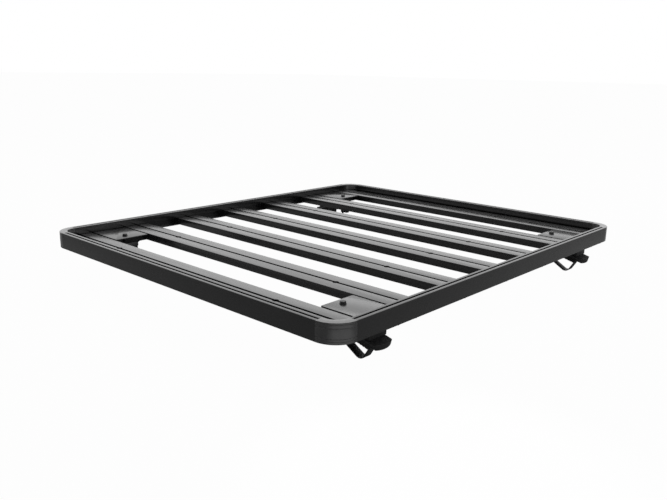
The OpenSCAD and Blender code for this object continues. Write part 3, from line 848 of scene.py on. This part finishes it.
class RACK_OT_feet(Operator):
    """Build the plates, risers, saddle bars, pads and strap loops of the four feet"""

    bl_idname = "rack.feet"
    bl_label = "Feet"

    def execute(self, context):
        sizes = context.scene.rack_sizes
        for name, side, _ in FEET:
            self.piece(plate_mesh(sizes, "plate_" + name), "foot_plate_" + name,
                       Matrix.Diagonal((side, 1, 1, 1)), deck_coat(), "satin_black_deck", "plate_" + name)
            place = foot_place(name, side)
            self.piece(riser_mesh(sizes), "foot_riser_" + name, place, foot_coat(),
                       "black_foot_casting", "riser_" + name)
            self.piece(saddle_mesh(sizes), "foot_bar_" + name, place, foot_coat(),
                       "black_foot_casting", "saddle_" + name)
            self.piece(strap_mesh(sizes), "foot_strap_" + name, place, strap_coat(),
                       "black_strap_steel", "strap_" + name)
        for half, side in SIDES:
            self.pads(sizes, half, side)
        return {"FINISHED"}

    def pads(self, sizes, half, side):
        """Both pads of one side, as one piece."""
        bm = bmesh.new()
        for end in ("front_", "rear_"):
            one = pad_mesh(sizes)
            bmesh.ops.transform(one, matrix=foot_place(end + half, side), verts=one.verts[:])
            bmesh.ops.recalc_face_normals(one, faces=one.faces[:])
            mesh = bpy.data.meshes.new("pad")
            one.to_mesh(mesh)
            one.free()
            bm.from_mesh(mesh)
            bpy.data.meshes.remove(mesh)
        dress(new_object(bm, "foot_pads_" + half), pad_rubber(), "pad_rubber", "saddle_pads_" + half)

    def piece(self, bm, name, place, material, slot, node):
        """Puts a piece in its place and finishes it."""
        bmesh.ops.transform(bm, matrix=place, verts=bm.verts[:])
        dress(new_object(bm, name), material, slot, node)


# Fasteners

class RACK_OT_fasteners(Operator):
    """Build the foot bolts, their nuts, and the bolts and nuts along the rim"""

    bl_idname = "rack.fasteners"
    bl_label = "Fasteners"

    def execute(self, context):
        nuts, holes = bmesh.new(), []
        nut_low, nut_high = FOOT_NUT_LOW[2], FOOT_NUT_HIGH[2]
        for name, side, _ in FEET:
            place = foot_place(name, side) @ Matrix.Translation((BOLT_X, BOLT_Y, 0))
            self.foot_bolt(name, place)
            hexagon(nuts, FLATS, nut_low, nut_high, place, 0.7 * MM, bottom=True)
            at = place.translation
            holes.append(round_cutter(at.x, at.y, BOLT_R + 0.1 * MM, nut_low - MM, nut_high + MM, 0.1 * MM))
        self.bored(nuts, "nuts_of_feet", holes, "foot_nuts")
        for half, side in SIDES:
            self.rim_fasteners(half, side)
        return {"FINISHED"}

    def foot_bolt(self, name, place):
        """Bolt of one foot with the washer under its head."""
        low, high = BOLT_LOW[2], BOLT_HIGH[2]
        seat, washer_r = high - HEAD_H, (BOLT_HIGH[0] - BOLT_LOW[0]) / 2
        tip, round_low, round_high = 0.8 * MM, 0.2 * MM, 0.3 * MM
        bm = bmesh.new()
        lathe(bm, [(0, low), (BOLT_R - tip, low), (BOLT_R, low + tip), (BOLT_R, DECK_Z),
                   (washer_r - round_low, DECK_Z), (washer_r, DECK_Z + round_low),
                   (washer_r, seat - round_high), (washer_r - round_high, seat), (0, seat)], place)
        hexagon(bm, FLATS, seat, high, place, 0.8 * MM)
        dress(new_object(bm, "bolt_" + name), bolt_black(), "black_bolt_steel", "foot_bolt_" + name)

    def rim_fasteners(self, half, side):
        """Rim bolts of one side, which hold the slats and the plates, and their nuts."""
        sizes = bpy.context.scene.rack_sizes
        nut_h, turned, x = 6 * MM, 0.6 * MM, side * rim_bolt_x()
        bolts, nuts, holes = bmesh.new(), bmesh.new(), []
        for y, on_plate in rim_bolt_places():
            place = Matrix.Translation((x, y, 0)) @ Matrix.Rotation(math.pi / 6, 4, "Z")
            grip = SLAT_Z + (sizes.plate_t if on_plate else sizes.slat_wall)
            top = grip + nut_h
            hexagon(bolts, FLATS, RIM_BOLT_LOW[2], RAIL_Z, place, turned, top=False, bottom=True)
            lathe(bolts, [(0, RAIL_Z), (BOLT_R, RAIL_Z), (BOLT_R, top - turned), (BOLT_R - turned, top),
                          (0, top)], place, 24)
            hexagon(nuts, FLATS, grip, top, place, turned)
            holes.append(round_cutter(x, y, BOLT_R + 0.1 * MM, grip - MM, top + MM, 0.1 * MM))
        dress(new_object(bolts, "bolts_of_rim_" + half), bolt_black(), "black_bolt_steel",
              "rim_bolts_" + half)
        self.bored(nuts, "nuts_of_rim_" + half, holes, "rim_nuts_" + half)

    def bored(self, nuts, name, holes, node):
        """Piece of nuts, once their holes are cut."""
        piece = new_object(nuts, name)
        carve(piece, holes)
        dress(piece, bolt_black(), "black_bolt_steel", node)


# Stage

def combine(tree, operation, first, second):
    """Result of a math node whose two values are sockets or numbers."""
    node = tree.nodes.new("ShaderNodeMath")
    node.operation = operation
    for socket, value in zip(node.inputs, (first, second)):
        if isinstance(value, float):
            socket.default_value = value
        else:
            tree.links.new(value, socket)
    return node.outputs[0]


def blend_by(tree, share, shader, other, out):
    """Sends a mix of two shaders to the output, with the share of the second one."""
    mix = tree.nodes.new("ShaderNodeMixShader")
    tree.links.new(share, mix.inputs["Fac"])
    tree.links.new(shader.outputs[0], mix.inputs[1])
    tree.links.new(other.outputs[0], mix.inputs[2])
    tree.links.new(mix.outputs[0], out.inputs["Surface"])


def stage_world(settings):
    """Soft surroundings that the camera and gloss see as white."""
    world = bpy.data.worlds.new("surroundings")
    bpy.context.scene.world = world
    world.use_nodes = True
    tree = world.node_tree
    tree.nodes.clear()
    out = tree.nodes.new("ShaderNodeOutputWorld")
    soft = tree.nodes.new("ShaderNodeBackground")
    soft.inputs["Strength"].default_value = settings.ambient
    white = tree.nodes.new("ShaderNodeBackground")
    white.inputs["Color"].default_value = (1, 1, 1, 1)
    ray = tree.nodes.new("ShaderNodeLightPath").outputs
    seen = combine(tree, "MAXIMUM", ray["Is Camera Ray"], ray["Is Glossy Ray"])
    seen = combine(tree, "MAXIMUM", seen, ray["Is Transmission Ray"])
    blend_by(tree, seen, soft, white, out)


def stage_floor(settings):
    """Floor that the camera sees as white with a faint shadow.

    To the rack it is grey, with a paler zone by the near corner: a painted pool of light, which that corner
    reflects as its highlight.
    """
    # The pale tone round the zone's middle is a painted pool of light; the near corner reflects it as its
    # highlight.
    dull, painted_pool_tone, painted_pool_from = 0.28, 0.95, 0.35
    mirrored_share, camera_share = 0.05, 0.98
    bm = bmesh.new()
    bmesh.ops.create_grid(bm, x_segments=8, y_segments=8, size=settings.floor_r)
    floor = new_object(bm, "floor")
    made, nodes, out = new_material("floor_white")
    tree, links = made.node_tree, made.node_tree.links
    where, zone = nodes.new("ShaderNodeTexCoord"), nodes.new("ShaderNodeMapping")
    zone.vector_type = "TEXTURE"
    zone.inputs["Location"].default_value = settings.painted_pool_at
    zone.inputs["Scale"].default_value = (settings.painted_pool_r, settings.painted_pool_r, 1)
    painted_pool_fade, tone = nodes.new("ShaderNodeTexGradient"), nodes.new("ShaderNodeValToRGB")
    painted_pool_fade.gradient_type = "SPHERICAL"
    tone.color_ramp.elements[0].color = (dull, dull, dull, 1)
    tone.color_ramp.elements[1].color = (painted_pool_tone, painted_pool_tone, painted_pool_tone, 1)
    tone.color_ramp.elements[1].position = painted_pool_from
    pale, glow = nodes.new("ShaderNodeBsdfDiffuse"), nodes.new("ShaderNodeEmission")
    links.new(where.outputs["Object"], zone.inputs["Vector"])
    links.new(zone.outputs["Vector"], painted_pool_fade.inputs["Vector"])
    links.new(painted_pool_fade.outputs["Fac"], tone.inputs["Fac"])
    links.new(tone.outputs["Color"], pale.inputs["Color"])
    glow.inputs["Strength"].default_value = 1.0
    ray = nodes.new("ShaderNodeLightPath").outputs
    mirrored = combine(tree, "MAXIMUM", ray["Is Glossy Ray"], ray["Is Transmission Ray"])
    faint = combine(tree, "MULTIPLY", mirrored, mirrored_share)
    seen = combine(tree, "MAXIMUM", ray["Is Camera Ray"], faint)
    share = combine(tree, "MULTIPLY", seen, camera_share)
    blend_by(tree, share, pale, glow, out)
    floor.data.materials.append(made)


def stage_lamp(name, at, aim, size, watts):
    """Large soft lamp that points at a spot."""
    data = bpy.data.lights.new(name, "AREA")
    data.shape = "RECTANGLE"
    data.size, data.size_y = size
    data.energy = watts
    lamp = bpy.data.objects.new(name, data)
    turn = (Vector(aim) - Vector(at)).to_track_quat("-Z", "Y").to_matrix().to_4x4()
    lamp.matrix_world = Matrix.Translation(at) @ turn
    lamp.visible_camera = False
    bpy.context.scene.collection.objects.link(lamp)


def stage_camera(settings):
    """Camera at the photograph's viewpoint."""
    data = bpy.data.cameras.new("camera")
    data.sensor_fit = "HORIZONTAL"
    data.sensor_width = 36.0
    data.lens = settings.lens
    data.clip_end = 200.0
    camera = bpy.data.objects.new("camera", data)
    camera.matrix_world = (Matrix.Translation(settings.camera_at)
                           @ Matrix.Rotation(settings.yaw - math.pi / 2, 4, "Z")
                           @ Matrix.Rotation(math.pi / 2 - settings.pitch, 4, "X")
                           @ Matrix.Rotation(settings.roll, 4, "Z"))
    bpy.context.scene.collection.objects.link(camera)
    bpy.context.scene.camera = camera


class RACK_OT_stage(Operator):
    """Set the floor, the surroundings, the lamps and the photograph's camera"""

    bl_idname = "rack.stage"
    bl_label = "Stage"

    def execute(self, context):
        settings = context.scene.stage_settings
        context.scene.view_settings.view_transform = "Standard"
        stage_world(settings)
        stage_floor(settings)
        rack = (0, 0, 0.1)
        stage_lamp("lamp_top", at=(-0.6, 1.0, 3.2), aim=rack, size=(3.0, 3.0), watts=60.0)
        stage_lamp("lamp_side", at=(3.0, 0.8, 1.6), aim=rack, size=(1.6, 1.6), watts=12.0)
        stage_camera(settings)
        return {"FINISHED"}


STEPS = (RACK_OT_stage, RACK_OT_rails, RACK_OT_corners, RACK_OT_slats, RACK_OT_feet, RACK_OT_fasteners)


class RACK_PT_panel(Panel):
    """Lists the steps that build the rack"""

    bl_label = "Platform Roof Rack"
    bl_idname = "RACK_PT_panel"
    bl_space_type = "VIEW_3D"
    bl_region_type = "UI"
    bl_category = "Rack"

    def draw(self, context):
        for step in STEPS:
            self.layout.operator(step.bl_idname)
        for group in (context.scene.rack_sizes, context.scene.rack_finish, context.scene.stage_settings):
            box = self.layout.box()
            for name in group.bl_rna.properties.keys():
                if name not in ("rna_type", "name"):
                    box.prop(group, name)


CLASSES = (RackSizes, RackFinish, StageSettings, *STEPS, RACK_PT_panel)


def register():
    for cls in CLASSES:
        bpy.utils.register_class(cls)
    bpy.types.Scene.rack_sizes = PointerProperty(type=RackSizes)
    bpy.types.Scene.rack_finish = PointerProperty(type=RackFinish)
    bpy.types.Scene.stage_settings = PointerProperty(type=StageSettings)


def unregister():
    del bpy.types.Scene.rack_sizes
    del bpy.types.Scene.rack_finish
    del bpy.types.Scene.stage_settings
    for cls in reversed(CLASSES):
        bpy.utils.unregister_class(cls)


def main():
    register()
    for step in STEPS:
        group, name = step.bl_idname.split(".")
        getattr(getattr(bpy.ops, group), name)()


if __name__ == "__main__":
    main()
